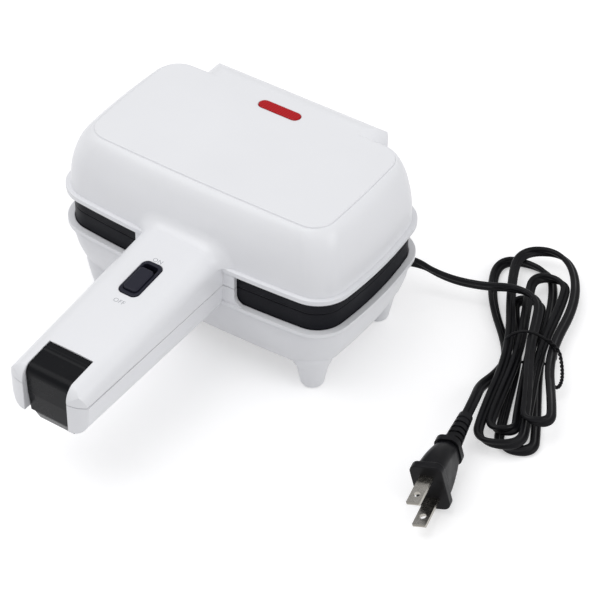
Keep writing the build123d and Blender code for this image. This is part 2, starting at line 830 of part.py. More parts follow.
def latch():
    """The black latch: a knuckle on the pin, a top plate, a face and a finger lip."""
    y, z = latch_pivot()
    t = latch_thick
    back_y = y + latch_back
    face_y = latch_set_back - handle_reach
    points = (
        (back_y, latch_top(back_y)),
        (face_y, latch_top(face_y)),
        (face_y + 0.5, nib_z),
        (face_y + 1.6, latch_face_z),
        (face_y + 1.6 + t, latch_face_z),
        (face_y + 0.5 + t, nib_z),
        (face_y + t, latch_top(face_y) - t),
        (back_y, latch_top(back_y) - t),
    )
    profile = make_face(Polyline(*points, close=True))
    outer = profile.vertices().sort_by(lambda v: math.dist((v.X, v.Y), points[1]))[0]
    profile = fillet(outer, latch_crease)
    inner = profile.vertices().sort_by(lambda v: math.dist((v.X, v.Y), points[6]))[0]
    profile = fillet(inner, latch_crease - t)
    knuckle = Pos(y, z) * Circle(knuckle_radius)
    body = across(Plane.YZ * (profile + knuckle), latch_half_width)
    lip = Polyline(
        (face_y + 1.8, latch_face_z + 1.5),
        (face_y + 1.9, latch_face_z - 0.6),
        (face_y + 4.6, latch_lip_z),
        (face_y + 6.2, latch_lip_z + 0.6),
        (face_y + 1.6 + t, latch_face_z + 1.5),
        close=True,
    )
    body += across(Plane.YZ * make_face(lip), latch_lip_half_width)
    rib = Polyline(
        (y - 1.0, z + 1.2),
        (face_y + t, latch_top(face_y) - t - 1.0),
        (face_y + t, nib_z - 2.0),
        (catch_y - 0.8, nib_z + 1.0),
        (catch_y - 0.6, upper_face_z),
        (y - 2.0, z - 2.0),
        close=True,
    )
    rib_face = Plane.YZ * make_face(rib)
    for side in (-1, 1):
        slab = extrude(rib_face, amount=0.8, both=True, dir=(1, 0, 0))
        body += Pos(side * (latch_half_width - 0.8), 0, 0) * slab
    nib = Polyline(
        (face_y + t - 0.6, nib_z - 2.5),
        (catch_y - 0.8, nib_z),
        (catch_y - 0.8, nib_z + 1.0),
        (face_y + t - 0.6, nib_z + 3.0),
        close=True,
    )
    body += across(Plane.YZ * make_face(nib), 6.0)
    coil_room = 2.7
    coil_half = 4.6
    body -= Pos(0, y, z) * Rot(0, 90, 0) * Cylinder(coil_room, 2 * coil_half)
    body -= box_between((-coil_half, coil_half), (y - coil_room, y + 5), (z - 6, z))
    body -= box_between((1.3, 2.7), (y - 5.7, y), (z, z + 2.3))
    body -= box_between((-2.7, -1.3), (y, y + 5), (z + 1.2, z + 2.4))
    body -= latch_pin_solid(latch_pin_gap)
    return body


def latch_spring():
    """The torsion spring round the latch's pin: one leg on the shell, one on the latch."""
    y, z = latch_pivot()
    coil_radius = 1.8
    wire = 0.3
    path = Helix(pitch=0.8, height=4.0, radius=coil_radius)
    coil = sweep(Plane(path @ 0, z_dir=path % 0) * Circle(wire), path=path, is_frenet=True)
    back_leg = Pos(coil_radius, -1.3, 0) * Rot(90, 0, 0) * Cylinder(1.2 * wire, 3.2)
    front_leg = Pos(coil_radius, 2.5, 4.0) * Rot(90, 0, 0) * Cylinder(1.2 * wire, 5.6)
    spring = coil + back_leg + front_leg
    return Pos(-2.0, y, z) * Rot(0, 90, 0) * Rot(0, 0, 180) * spring


def switch_opening(low, high):
    """The bezel's opening, in the switch's plane, between two heights."""
    opening = RectangleRounded(
        switch_width - 2 * switch_frame_side, switch_length - 2 * switch_frame_end, 2.0
    )
    return Pos(0, 0, low) * extrude(opening, amount=high - low)


def switch_slider():
    """The raised sliding pad, at its OFF end, with its flange inside the case."""
    rest = -switch_travel / 2
    width = switch_width - 2 * (switch_frame_side + switch_gap)
    length = switch_length - 2 * (switch_frame_end + switch_gap) - switch_travel
    pad = extrude(RectangleRounded(width, length, 1.8), amount=switch_pad_proud + 4.0)
    pad = Pos(0, rest, -4.0) * pad
    pad = fillet(pad.faces().sort_by(Axis.Z)[-1].edges(), 0.6)
    flange = Pos(0, rest, -4.2) * Box(width + 2.6, length + 3.0, 0.8)
    return switch_plane * (pad + flange)


def switch_body():
    """The slide switch's case; its bezel comes up through the handle's top."""
    width = switch_width + 3.2
    length = switch_length + 12.0
    wall = 0.8
    case = Pos(0, 0, -7.1) * Box(width, length, 4.4)
    case += Pos(0, 0, -3.95) * Box(width, length, 2.9)
    case -= Pos(0, 0, -4.15) * Box(width - 2 * wall, switch_length, 1.5)
    bezel = extrude(
        RectangleRounded(switch_width, switch_length, switch_corner), amount=switch_proud + 3.0
    )
    bezel = fillet(bezel.faces().sort_by(Axis.Z)[-1].edges(), 0.3)
    case += Pos(0, 0, -3.0) * bezel
    case -= switch_opening(-4.0, switch_proud + 1)
    for side in (-1, 1):
        case += Pos(0, side * switch_tab_y, -10.1) * Box(5.0, 0.8, 1.8)
    return switch_plane * case


def lamp_lens():
    """The red window: a slot-shaped lens with an ear at each end under the lid's skin."""
    lens = Pos(0, lamp_y) * prism(
        SlotOverall(lamp_length, lamp_width), lamp_low_z, top_z + lamp_proud
    )
    lens = fillet(lens.faces().sort_by(Axis.Z)[-1].edges(), 0.7)
    ears = Pos(0, lamp_y) * prism(
        SlotOverall(lamp_length + 4, lamp_width - 1),
        ceiling_z - 0.1 - lamp_flange_thick,
        ceiling_z - 0.1,
    )
    return lens + ears


def lamp_holder():
    """The tray that carries the neon lamp under the lens."""
    half_length = lamp_length / 2 + holder_wall + 0.4
    half_width = lamp_width / 2 + holder_wall + 0.3
    top = ceiling_z - 0.1 - lamp_flange_thick
    tray = box_between(
        (-half_length, half_length),
        (lamp_y - half_width, lamp_y + half_width),
        (top - holder_depth, top),
    )
    tray -= box_between(
        (holder_wall - half_length, half_length - holder_wall),
        (lamp_y - half_width + holder_wall, lamp_y + half_width - holder_wall),
        (top - holder_depth + holder_wall, top + 1),
    )
    tray -= box_between((-7, 7), (lamp_y - 9, lamp_y + 9), (top - holder_depth + 3.4, top + 1))
    return tray


def neon_lamp():
    z = ceiling_z - 0.1 - lamp_flange_thick - holder_depth + holder_wall + neon_radius + 0.1
    glass = Pos(0, lamp_y, z) * Rot(0, 90, 0) * Cylinder(neon_radius, 13)
    wires = Pos(0, lamp_y, z) * Rot(0, 90, 0) * Cylinder(0.4, lamp_length)
    return glass + wires


def bush_frame():
    """The cord bush's own frame: +Y along the cord as it leaves, on the back wall."""
    return Location((bush_x, bush_y, bush_z), (0, 0, -bush_turn))


def along_bush(low, high, radius, tip_radius):
    length = high - low
    cone = Cone(radius, tip_radius, length) if radius != tip_radius else Cylinder(radius, length)
    return bush_frame() * Pos(0, (low + high) / 2, 0) * Rot(-90, 0, 0) * cone


def cord_bush():
    """The tapered, grooved strain relief in the back wall."""
    body = along_bush(-bush_seat, 3.4, bush_radius, bush_radius)
    body += along_bush(3.4, bush_length, bush_radius, bush_tip_radius)
    for ring in range(3):
        groove = along_bush(5.4 + 3 * ring, 6.4 + 3 * ring, bush_radius + 1, bush_radius + 1)
        body -= groove - along_bush(-5, bush_length + 1, 3.1, 2.6)
    end = -bush_seat - bush_flange_thick
    body += along_bush(end, -bush_seat, bush_flange_radius, bush_flange_radius)
    bore = cord_radius + cord_gap
    return body - along_bush(end - 1, bush_length + 1, bore, bore)


def clamp_limits():
    """The cord clamp's limits across and along the lead, in the bush's frame."""
    x = (-clamp_half_length, clamp_half_length)
    y = (-clamp_y - clamp_width / 2, -clamp_y + clamp_width / 2)
    return x, y


def clamp_holes(radius):
    reach = 8.0
    return [
        Pos(x, -clamp_y, cord_radius + clamp_thick - reach / 2) * Cylinder(radius, reach)
        for x in (-clamp_screw_x, clamp_screw_x)
    ]


def cord_saddle(inner):
    """The moulded rest under the cord clamp."""
    x, y = clamp_limits()
    block = box_between(x, y, (floor_z + 1 - bush_z, -cord_radius - cord_gap))
    for hole in clamp_holes(1.1):
        block -= hole
    return (bush_frame() * block) & inner


def cord_clamp():
    x, y = clamp_limits()
    low = cord_radius + cord_gap
    bar = box_between(x, y, (low, low + clamp_thick))
    for hole in clamp_holes(1.1):
        bar -= Pos(0, 0, 1) * hole
    return bush_frame() * bar


def terminal_block():
    y = (-terminal_far, -terminal_near)
    block = box_between((-10, 10), y, (floor_z + shell_wall - bush_z, 5.4))
    for x in (-5, 5):
        block -= Pos(x, -26, 5.4) * Cylinder(2.2, 5)
    return bush_frame() * block


def inner_lead():
    """The end of the lead indoors, from the terminal block through clamp and bush."""
    return along_bush(-terminal_near, bush_length, cord_radius, cord_radius)


def clamp_screws():
    """The two screws that pull the cord clamp down on the lead."""
    made = []
    top = cord_radius + cord_gap + clamp_thick
    for x in (-clamp_screw_x, clamp_screw_x):
        screw = Pos(x, -clamp_y, top + 0.8) * Cylinder(1.9, 1.6)
        screw += Pos(x, -clamp_y, top - 2.9) * Cylinder(1.0, 6.0)
        made.append(bush_frame() * screw)
    return made


def tube_radii(points):
    """The arc at each corner: 0.45 of the shorter run over the tangent of half the turn."""
    radii = []
    for before, corner, after in zip(points, points[1:], points[2:]):
        first = Vector(*corner) - Vector(*before)
        second = Vector(*after) - Vector(*corner)
        half_turn = math.radians(first.get_angle(second)) / 2
        shorter = min(first.length, second.length)
        radii.append(0.45 * shorter / math.tan(half_turn))
    return radii


def tube(points, radii, radius):
    """A round tube along straight runs joined by tangent arcs."""
    path = FilletPolyline(*points, radius=radii)
    body = sweep(Plane(path @ 0, z_dir=path % 0) * Circle(radius), path=path)
    share = body.volume / (math.pi * radius**2 * path.length)
    return body, path, share


def bush_point(y):
    """A point on the bush's axis, y outward from the wall."""
    turn = math.radians(bush_turn)
    return (bush_x + y * math.sin(turn), bush_y + y * math.cos(turn), bush_z)


def hank_point(along, left, z):
    """A point from hank measures: along it from the waist, to its left, and its height."""
    lean = math.radians(hank_lean)
    x = waist_x - along * math.sin(lean) - left * math.cos(lean)
    y = waist_y + along * math.cos(lean) - left * math.sin(lean)
    return (x, y, z)


def layer_z(layer, at_waist=False):
    """The height of a layer's middle; the tie lifts every layer at the waist."""
    rise = waist_rise if at_waist else 0.0
    return cord_radius + 0.1 + rise + layer * layer_pitch


# Where the free stretches meet the hank, in hank measures
lead_end = (14.0, -1.0)
plug_lead_start = (-14.0, 13.0)


def lead_route():
    """The lead from the bush, over the hank's loops to its waist."""
    waist_z = layer_z(2, True)
    along, left = lead_end
    return [
        bush_point(bush_length),
        bush_point(bush_length + 12.0),
        (78.0, 60.5, 12.6),
        (96.0, 65.5, 12.6),
        (114.0, 69.0, 13.2),
        hank_point(1.85 * along, 1.85 * left, waist_z),
        hank_point(along, left, waist_z),
    ]


def hank_route():
    """The hank: four loops from waist to top, four folds below, spiralling in and out.

    Each row holds along, left, layer; a waist point is raised over the tie."""
    outer = 2 * column_pitch
    inner = column_pitch
    rows = [
        (lead_end[0], lead_end[1], 2, True),
        (0.0, 0.0, 2, True),
        (-58.0, 3.0, 2, False),
        (-58.0, -13.0, 2, False),
        (0.0, -outer, 1, True),
        (42.0, -19.0, 1, False),
        (75.5, -12.0, 1, False),
        (72.0, 16.0, 1, False),
        (46.0, 23.0, 1, False),
        (0.0, outer, 1, True),
        (-62.0, 17.0, 1, False),
        (-62.0, -8.6, 1, False),
        (0.0, -inner, 1, True),
        (51.0, -12.5, 1, False),
        (49.0, 9.0, 1, False),
        (0.0, inner, 1, True),
        (-53.0, 11.0, 1, False),
        (-53.0, -1.5, 1, False),
        (0.0, 0.0, 0.5, True),
        (38.0, -4.0, 0, False),
        (38.0, 9.5, 0, False),
        (0.0, inner, 0, True),
        (-56.0, 9.5, 0, False),
        (-56.0, -8.6, 0, False),
        (0.0, -inner, 0, True),
        (66.0, -12.0, 0, False),
        (63.0, 21.0, 0, False),
        (0.0, outer, 0, True),
        (plug_lead_start[0], plug_lead_start[1], 0, True),
    ]
    return [hank_point(a, b, layer_z(layer, waist)) for a, b, layer, waist in rows]


def loop_radii(points):
    """Arcs for loops: each takes half of its shorter run, up to a wide bend."""
    radii = []
    for before, corner, after in zip(points, points[1:], points[2:]):
        first = Vector(*corner) - Vector(*before)
        second = Vector(*after) - Vector(*corner)
        half_turn = math.radians(first.get_angle(second)) / 2
        shorter = min(first.length, second.length)
        radii.append(min(0.49 * shorter / math.tan(half_turn), 30.0))
    return radii


def least_self_gap(path, radius):
    """The least gap of a tube to itself, from points along it."""
    count = int(path.length / 2)
    points = [path @ (i / count) for i in range(count + 1)]
    least = 1000.0
    skip = int(5 * radius)
    for i, one in enumerate(points):
        for other in points[i + skip :]:
            least = min(least, (one - other).length)
    return least - 2 * radius


def plug_frame():
    """The plug's own frame: +Z out of its face along the blades, +X from blade to blade."""
    lean = math.radians(plug_lean)
    ahead = Vector(math.sin(lean), -math.cos(lean), 0)
    up = Vector(0, 0, 1).rotate(Axis((0, 0, 0), ahead), plug_roll)
    return Plane(origin=(plug_x, plug_y, plug_z), x_dir=up, z_dir=ahead)


def plug_point(back):
    """A point on the plug's axis, behind its face."""
    place = plug_frame().from_local_coords(Vector(0, 0, -back))
    return (place.X, place.Y, place.Z)


def plug_body():
    """The moulded plug: a flange at its face, a waisted body and a grooved neck."""
    flange = extrude(RectangleRounded(2 * plug_half_height, 2 * plug_half_width, 3.6), amount=-4.0)
    flange = fillet(flange.edges().filter_by(GeomType.LINE, reverse=True), 0.6)
    body = loft(
        [
            Pos(0, 0, -3.0) * RectangleRounded(20.5, 13.0, 4.0),
            Pos(0, 0, -14.0) * RectangleRounded(19.0, 12.0, 4.5),
            Pos(0, 0, -plug_length) * RectangleRounded(11.0, 9.6, 4.4),
        ]
    )
    collar = Pos(0, 0, -plug_length - 1.0) * extrude(RectangleRounded(15.0, 11.6, 4.0), amount=3.0)
    neck = Pos(0, 0, -plug_length - neck_length / 2) * Cone(3.3, neck_radius, neck_length)
    for ring in range(5):
        z = -plug_length - 4.4 - 3.4 * ring
        groove = Pos(0, 0, z) * (Cylinder(8, 1.2) - Cylinder(3.2, 1.2))
        neck -= groove
    for side in (-1, 1):
        neck -= Pos(side * 5.6, 0, -plug_length - neck_length / 2) * Box(4, 20, neck_length + 2)
    whole = flange + body + collar + neck
    for side in (-1, 1):
        whole -= Pos(side * blade_spacing / 2, 0, -4) * Box(blade_thick, blade_width, 8)
    return plug_frame() * whole


def plug_blades():
    """The two flat blades, with their holes and bevelled tips."""
    made = []
    reach = blade_length + 8
    for side in (-1, 1):
        blade = Box(blade_thick, blade_width, reach)
        tip = blade.faces().sort_by(Axis.Z)[-1]
        blade = chamfer(tip.edges(), 0.5)
        blade = Pos(side * blade_spacing / 2, 0, reach / 2 - 8) * blade
        hole = Rot(0, 90, 0) * Cylinder(1.55, 4)
        blade -= Pos(side * blade_spacing / 2, 0, blade_hole) * hole
        made.append(plug_frame() * blade)
    return made


def plug_lead_route():
    """The lead from the hank's waist to the plug's neck."""
    low = layer_z(0, True)
    along, left = plug_lead_start
    outer = 2 * column_pitch
    return [
        hank_point(along, left, low),
        hank_point(1.9 * along, outer + 1.9 * (left - outer), low),
        plug_point(plug_length + neck_length + 14.0),
        plug_point(plug_length + neck_length),
    ]


def cord_tie():
    """A thin wire tie round the hank's waist, its ends twisted on top."""
    half = 2 * column_pitch + cord_radius + tie_radius + 1.2
    low = layer_z(0, True) - cord_radius - tie_radius - 0.4
    high = layer_z(1, True) + cord_radius + tie_radius + 0.5
    crown = layer_z(2, True) + cord_radius + tie_radius + 0.5
    points = [
        hank_point(0, -1.0, low),
        hank_point(0, -half, low),
        hank_point(0, -half, high),
        hank_point(0, -3.6, crown),
        hank_point(0, 3.6, crown),
        hank_point(0, half, high),
        hank_point(0, half, low),
        hank_point(0, 1.0, low),
    ]
    ring, _, _ = tube(points, 2.2, tie_radius)
    return ring


def hinge_pins():
    pin = Rot(0, 90, 0) * Cylinder(hinge_pin_radius, 2 * hinge_pin_half)
    pin = chamfer(pin.edges().filter_by(GeomType.CIRCLE), 0.3)
    return [Pos(side * lug_x, hinge_y, hinge_z) * pin for side in (-1, 1)]


def wire(points):
    """A thin insulated wire along a route, with small bends."""
    radii = [min(radius, 4.0) for radius in tube_radii(points)]
    return tube(points, radii, wire_radius)[0]


def block_point(x, y):
    place = (bush_frame() * Pos(x, y, 0)).position
    return (place.X, place.Y, place.Z)


def lower_wiring():
    """Wires from the terminal block to the thermostat's tab and to the heater's pin."""
    back = back_of(lower_face_z, -1)
    tab_z = back - thermostat_height
    pin_z = back - heater_radius - heater_gap
    tab_x = thermostat_tab_x
    to_thermostat = [
        block_point(-5, -terminal_far),
        block_point(-5, -terminal_far - 6),
        (tab_x, -1.0, tab_z - 7.0),
        (tab_x, 0.0, tab_z - 4.0),
        (tab_x, 0.0, tab_z),
    ]
    to_heater = [
        block_point(5, -terminal_far),
        block_point(5, -terminal_far - 6),
        (10.0, 12.0, bush_z - 1.0),
        (0.5, shield_half_y + 4, bush_z + 3.0),
        (0.5, shield_half_y + 4, pin_z),
        (0.5, heater_half_y, pin_z),
        (heater_end_x - heater_pin_reach, heater_half_y, pin_z),
    ]
    return [wire(to_thermostat), wire(to_heater)]


def upper_wiring():
    """Wires from the switch, through the handle's root, to the lamp holder."""
    holder_y = lamp_y - lamp_width / 2 - holder_wall - 0.3
    window_z = dome_foot_z + 2.6
    level = ceiling_z - 8.4
    start = (switch_plane.location * Pos(0, switch_tab_y + 0.5, -10.3)).position
    made = []
    for side in (-1, 1):
        x = side * 6.0
        points = [
            (side * 1.5, start.Y, start.Z),
            (side * 1.5, start.Y + 4.5, start.Z),
            (x, cover_screw_y[0] - 3, start.Z + 0.8),
            (x, cover_screw_y[0] + 4.5, window_z - 0.3),
            (x, -36.0, window_z),
            (x, -31.6, 75.5),
            (x, -22.0, level),
            (x, holder_y - 0.1, level),
        ]
        made.append(wire(points))
    return made


def write(name, solids):
    """Moves a piece, or a group of separate pieces, to the part's origin and saves it."""
    group = solids if isinstance(solids, (list, tuple)) else [solids]
    placed = []
    for item in group:
        for solid in (Pos(0, body_y, 0) * item).solids():
            placed.append(solid)
    shape = placed[0] if len(placed) == 1 else Compound(children=placed)
    shape.label = name
    export_step(shape, f"parts/{name}.step")


def main():
    os.makedirs("parts", exist_ok=True)
    write("lower_shell", lower_shell())
    write("lower_plate", lower_plate())
    write("lower_heater", heater(lower_face_z, -1))
    write("lower_heat_shield", heat_shield(lower_face_z, -1))
    write("lower_shield_screws", pan_screws(lower_face_z, -1))
    write("lower_plate_screws", screws(corner_places(), lower_face_z, -1, corner_screw_length))
    inside = lower_handle(handle_wall + cover_gap)
    write("lower_handle_cover", handle_cover(inside, lower_face_z, -1, lower_cavity_end_y))
    write("lower_cover_screws", screws(cover_places, lower_face_z, -1, cover_screw_length))
    write("thermostat", thermostat())
    fuse, strap = thermal_fuse()
    write("thermal_fuse", fuse)
    write("fuse_strap", strap)
    write("terminal_block", terminal_block())
    write("lower_wiring", lower_wiring())
    write("hinge_pins", hinge_pins())
    write("cord_bush", cord_bush())
    write("cord_clamp", cord_clamp())
    write("clamp_screws", clamp_screws())
    write("inner_lead", inner_lead())

    write("upper_shell", upper_shell())
    write("upper_plate", upper_plate())
    write("upper_heater", heater(upper_face_z, 1))
    write("upper_heat_shield", heat_shield(upper_face_z, 1))
    write("upper_shield_screws", pan_screws(upper_face_z, 1))
    write("upper_plate_screws", screws(corner_places(), upper_face_z, 1, corner_screw_length))
    inside = upper_handle(handle_wall + cover_gap)
    write("upper_handle_cover", handle_cover(inside, upper_face_z, 1, cavity_end_y))
    write("upper_cover_screws", screws(cover_places, upper_face_z, 1, cover_screw_length))
    write("upper_wiring", upper_wiring())
    write("switch_body", switch_body())
    write("lamp_lens", lamp_lens())
    write("lamp_holder", lamp_holder())
    write("neon_lamp", neon_lamp())
    write("latch_pin", latch_pin_solid(0.0))
    write("latch_spring", latch_spring())
    write("latch", latch())
    write("switch_slider", switch_slider())

    lead, lead_path, lead_share = tube(lead_route(), tube_radii(lead_route()), cord_radius)
    write("mains_lead", lead)
    route = hank_route()
    hank, hank_path, hank_share = tube(route, loop_radii(route), cord_radius)
    write("cord_hank", hank)
    points = plug_lead_route()
    plug_lead, plug_path, plug_share = tube(points, tube_radii(points), cord_radius)
    write("plug_lead", plug_lead)
    write("cord_tie", cord_tie())
    write("plug_body", plug_body())
    write("plug_blades", plug_blades())
    print("lead radii", [round(r, 1) for r in tube_radii(lead_route())])
    print("plug lead radii", [round(r, 1) for r in tube_radii(points)])
    print("hank least radius", round(min(loop_radii(route)), 2))
    print("hank least gap to itself", round(least_self_gap(hank_path, cord_radius), 2))
    lengths = [lead_path.length, hank_path.length, plug_path.length]
    print("cord length", [round(length) for length in lengths], round(sum(lengths)))
    shares = [lead_share, hank_share, plug_share]
    print("tube volume over section times length", [round(share, 4) for share in shares])


main()
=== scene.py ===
import json
import math

import bpy
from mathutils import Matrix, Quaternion, Vector


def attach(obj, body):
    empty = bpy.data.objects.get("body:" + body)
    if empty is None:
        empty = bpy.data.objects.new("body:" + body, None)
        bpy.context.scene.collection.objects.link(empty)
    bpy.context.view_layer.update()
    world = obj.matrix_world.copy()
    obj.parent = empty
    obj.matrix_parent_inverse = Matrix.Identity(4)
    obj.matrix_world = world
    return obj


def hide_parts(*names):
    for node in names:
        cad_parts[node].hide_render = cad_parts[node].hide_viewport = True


# A white sandwich iron with a black latch, closed, on a pale floor, its cord in a tied hank.
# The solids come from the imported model. This script gives them their finishes and adds what
# the solids leave out: the two-core cord and its wire tie, small fillets at the legs and in
# the openings' corners, and the words at the switch. Metres, in the model's frame.

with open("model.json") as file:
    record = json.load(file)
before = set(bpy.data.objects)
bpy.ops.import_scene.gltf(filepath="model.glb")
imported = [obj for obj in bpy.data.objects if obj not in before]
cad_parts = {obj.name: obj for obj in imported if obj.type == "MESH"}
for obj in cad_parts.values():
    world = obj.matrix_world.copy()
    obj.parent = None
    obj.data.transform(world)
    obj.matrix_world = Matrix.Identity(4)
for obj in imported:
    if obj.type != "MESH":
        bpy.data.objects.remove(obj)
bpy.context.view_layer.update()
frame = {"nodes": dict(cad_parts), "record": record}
nodes = frame["nodes"]

MM = 0.001
body_y = 45.6  # mm, how far the body's middle lies behind the model's origin

# The photograph's camera: millimetres from the body's middle, and degrees
camera_place = (493.6, -695.5, 752.2)
camera_azimuth = 33.50
camera_elevation = 41.38
camera_roll = 0.78
camera_lens = 143.1
sensor_width = 36.0


def place(x, y, z):
    """A point given in millimetres from the body's middle, in the model's frame."""
    return Vector((x * MM, (y + body_y) * MM, z * MM))


def link(name, data):
    """Adds an object to the scene."""
    made = bpy.data.objects.new(name, data)
    bpy.context.scene.collection.objects.link(made)
    return made


def mesh_piece(name, tubes, material, smooth=True):
    """A piece made of closed tubes. A tube is a list of rings with the same number of points,
    and the rings run counterclockwise for someone who looks along the tube."""
    vertices = []
    faces = []
    for rings in tubes:
        first = len(vertices)
        count = len(rings[0])
        for ring in rings:
            vertices += ring
        last = len(vertices) - count
        for start in range(first, last, count):
            for step in range(count):
                one = start + step
                other = start + (step + 1) % count
                faces.append((one, one + count, other + count, other))
        faces.append(tuple(range(first, first + count)))
        faces.append(tuple(reversed(range(last, last + count))))
    mesh = bpy.data.meshes.new(name)
    mesh.from_pydata(vertices, [], faces)
    mesh.validate()
    mesh.update()
    for polygon in mesh.polygons:
        polygon.use_smooth = smooth and len(polygon.vertices) == 4
    mesh.materials.append(material)
    return link(name, mesh)


# ---------------------------------------------------------------- camera


def add_camera():
    """The photograph's view: from the handle's right, looking down."""
    azimuth = math.radians(camera_azimuth)
    elevation = math.radians(camera_elevation)
    roll = math.radians(camera_roll)
    toward = Vector(
        (
            math.sin(azimuth) * math.cos(elevation),
            -math.cos(azimuth) * math.cos(elevation),
            math.sin(elevation),
        )
    )
    data = bpy.data.cameras.new("camera")
    data.lens = camera_lens
    data.sensor_width = sensor_width
    data.clip_start = 0.05
    data.clip_end = 20.0
    camera = link("camera", data)
    camera.location = place(*camera_place)
    level = toward.to_track_quat("Z", "Y")
    camera.rotation_mode = "QUATERNION"
    camera.rotation_quaternion = level @ Quaternion((0, 0, 1), roll)
    bpy.context.scene.camera = camera


# ---------------------------------------------------------------- cord

# Measures shared with the solids, in millimetres
bush = (44.0, 37.4, 17.0)
bush_turn = math.radians(40.0)
bush_length = 15.0
waist = (135.7, 38.9)
hank_lean = math.radians(25.4)
layer_pitch = 4.85
plug_face = (146.2, -66.6, 13.4)
plug_lean = math.radians(12.0)
plug_back = 48.0  # from the plug's face to its neck's end

# The flat cord, and how it lies in the hank
core_radius = 1.3
core_steps = 14  # round each core's outline
web_half = 0.85  # half the thickness between the cores
cord_slant = math.radians(38.0)  # of its wide side, in the hank
layer_low = 2.65  # height of the bottom layer's middle
waist_low = 3.8  # the same at the waist
waist_layer_pitch = 3.9
column_pitch = 4.3  # between neighbours at the waist
line_steps = 14  # points in each piece of a smooth line
least_step = 0.02  # points nearer than this are one point

# The wire tie round the hank's waist
tie_radius = 0.7
tie_half = 2 * column_pitch + 3.8
tie_low = 0.9
tie_high = 9.6
tie_crown = 14.9

# The tie's ends, two strands twisted round each other
strand_radius = 0.48
strand_sides = 8
twist_radius = 0.5
twist_turns = 9


def bush_point(out):
    """A point on the cord bush's axis, outward from the wall."""
    return (bush[0] + out * math.sin(bush_turn), bush[1] + out * math.cos(bush_turn), bush[2])


def layer_z(layer, at_waist=False):
    """A layer's height: the tie draws the layers together at the waist."""
    if at_waist:
        return waist_low + layer * waist_layer_pitch
    return layer_low + layer * layer_pitch


def hank_point(along, left, z):
    """A point along the hank from its waist, to its left, and its height."""
    x = waist[0] - along * math.sin(hank_lean) - left * math.cos(hank_lean)
    y = waist[1] + along * math.cos(hank_lean) - left * math.sin(hank_lean)
    return (x, y, z)


def plug_point(back):
    """A point on the plug's axis, behind its face."""
    return (
        plug_face[0] - back * math.sin(plug_lean),
        plug_face[1] + back * math.cos(plug_lean),
        plug_face[2],
    )


def cord_route():
    """The whole cord: from the bush, through the hank's loops and folds, to the plug."""
    inner = column_pitch
    outer = 2 * column_pitch
    lead = [
        bush_point(bush_length),
        (60.0, 56.6, 15.6),
        (77.5, 59.6, 9.8),
        (95.0, 64.5, 9.6),
        (112.0, 68.5, 14.4),
        hank_point(29.0, -2.5, 15.0),
        hank_point(14.0, -1.5, 12.2),
    ]
    rows = [
        # along, left, layer, at the waist
        (0.0, 0.0, 2, True),
        # fold over the top, at the right
        (-38.0, -1.5, 2, False),
        (-50.0, -1.0, 2, False),
        (-50.0, -13.2, 2, False),
        (-38.0, -12.8, 2, False),
        (0.0, -outer, 1, True),
        # large loop at the far end
        (42.0, -20.5, 1, False),
        (74.0, -13.5, 1, False),
        (73.0, 10.5, 1, False),
        (46.0, 12.5, 1, False),
        (0.0, outer, 1, True),
        # long fold at the left
        (-44.0, 17.6, 1, False),
        (-62.0, 19.2, 1, False),
        (-62.0, -1.4, 1, False),
        (-44.0, -2.4, 1, False),
        (0.0, -inner, 1, True),
        # loop inside the large one
        (38.0, -13.0, 1, False),
        (53.0, -14.0, 1, False),
        (55.0, 2.0, 1, False),
        (38.0, 3.5, 1, False),
        (0.0, inner, 1, True),
        # fold inside the long one, sinking to the bottom layer
        (-40.0, 12.4, 1, False),
        (-53.0, 14.2, 1, False),
        (-53.0, 1.8, 1, False),
        (-42.0, 2.0, 0.8, False),
        (0.0, 0.0, 0.45, True),
        # short loop underneath
        (30.0, -2.8, 0, False),
        (42.0, -3.4, 0, False),
        (42.0, 9.6, 0, False),
        (30.0, 8.8, 0, False),
        (0.0, inner, 0, True),
        # fold underneath
        (-46.0, 9.0, 0, False),
        (-60.0, 9.0, 0, False),
        (-60.0, -7.0, 0, False),
        (-46.0, -7.0, 0, False),
        (0.0, -inner, 0, True),
        # wide loop underneath, out to the left
        (44.0, -9.0, 0, False),
        (66.0, -5.5, 0, False),
        (72.0, 20.0, 0, False),
        (42.0, 22.0, 0, False),
        (0.0, outer, 0, True),
    ]
    hank = [hank_point(a, b, layer_z(layer, at_waist)) for a, b, layer, at_waist in rows]
    plug_lead = [
        hank_point(-13.0, 13.8, 3.3),
        hank_point(-26.0, 20.4, 7.4),
        plug_point(plug_back + 13.0),
        plug_point(plug_back),
    ]
    return [place(*point) for point in lead + hank + plug_lead]


def smooth_line(name, points):
    """The smooth line of a NURBS spline that has these control points."""
    curve = bpy.data.curves.new(name, "CURVE")
    curve.dimensions = "3D"
    curve.resolution_u = line_steps
    spline = curve.splines.new("NURBS")
    spline.points.add(len(points) - 1)
    for point, where in zip(spline.points, points):
        point.co = (*where, 1.0)
    spline.order_u = 3
    spline.use_endpoint_u = True
    holder = link(name, curve)
    bpy.context.view_layer.update()
    depsgraph = bpy.context.evaluated_depsgraph_get()
    mesh = bpy.data.meshes.new_from_object(holder.evaluated_get(depsgraph))
    line = []
    for vertex in mesh.vertices:
        if not line or (vertex.co - line[-1]).length > least_step * MM:
            line.append(vertex.co.copy())
    bpy.data.objects.remove(holder)
    bpy.data.meshes.remove(mesh)
    return line


def heading(line, index):
    """The way a line runs at one of its points."""
    before = line[max(index - 1, 0)]
    after = line[min(index + 1, len(line) - 1)]
    return (after - before).normalized()


def carry_section(line, section, wide):
    """The rings of a tube: a section carried along a line, its width kept near one way."""
    rings = []
    for index, middle in enumerate(line):
        ahead = heading(line, index)
        side = (wide - wide.dot(ahead) * ahead).normalized()
        up = side.cross(ahead)
        rings.append([middle + MM * (across * side + above * up) for across, above in section])
    return rings


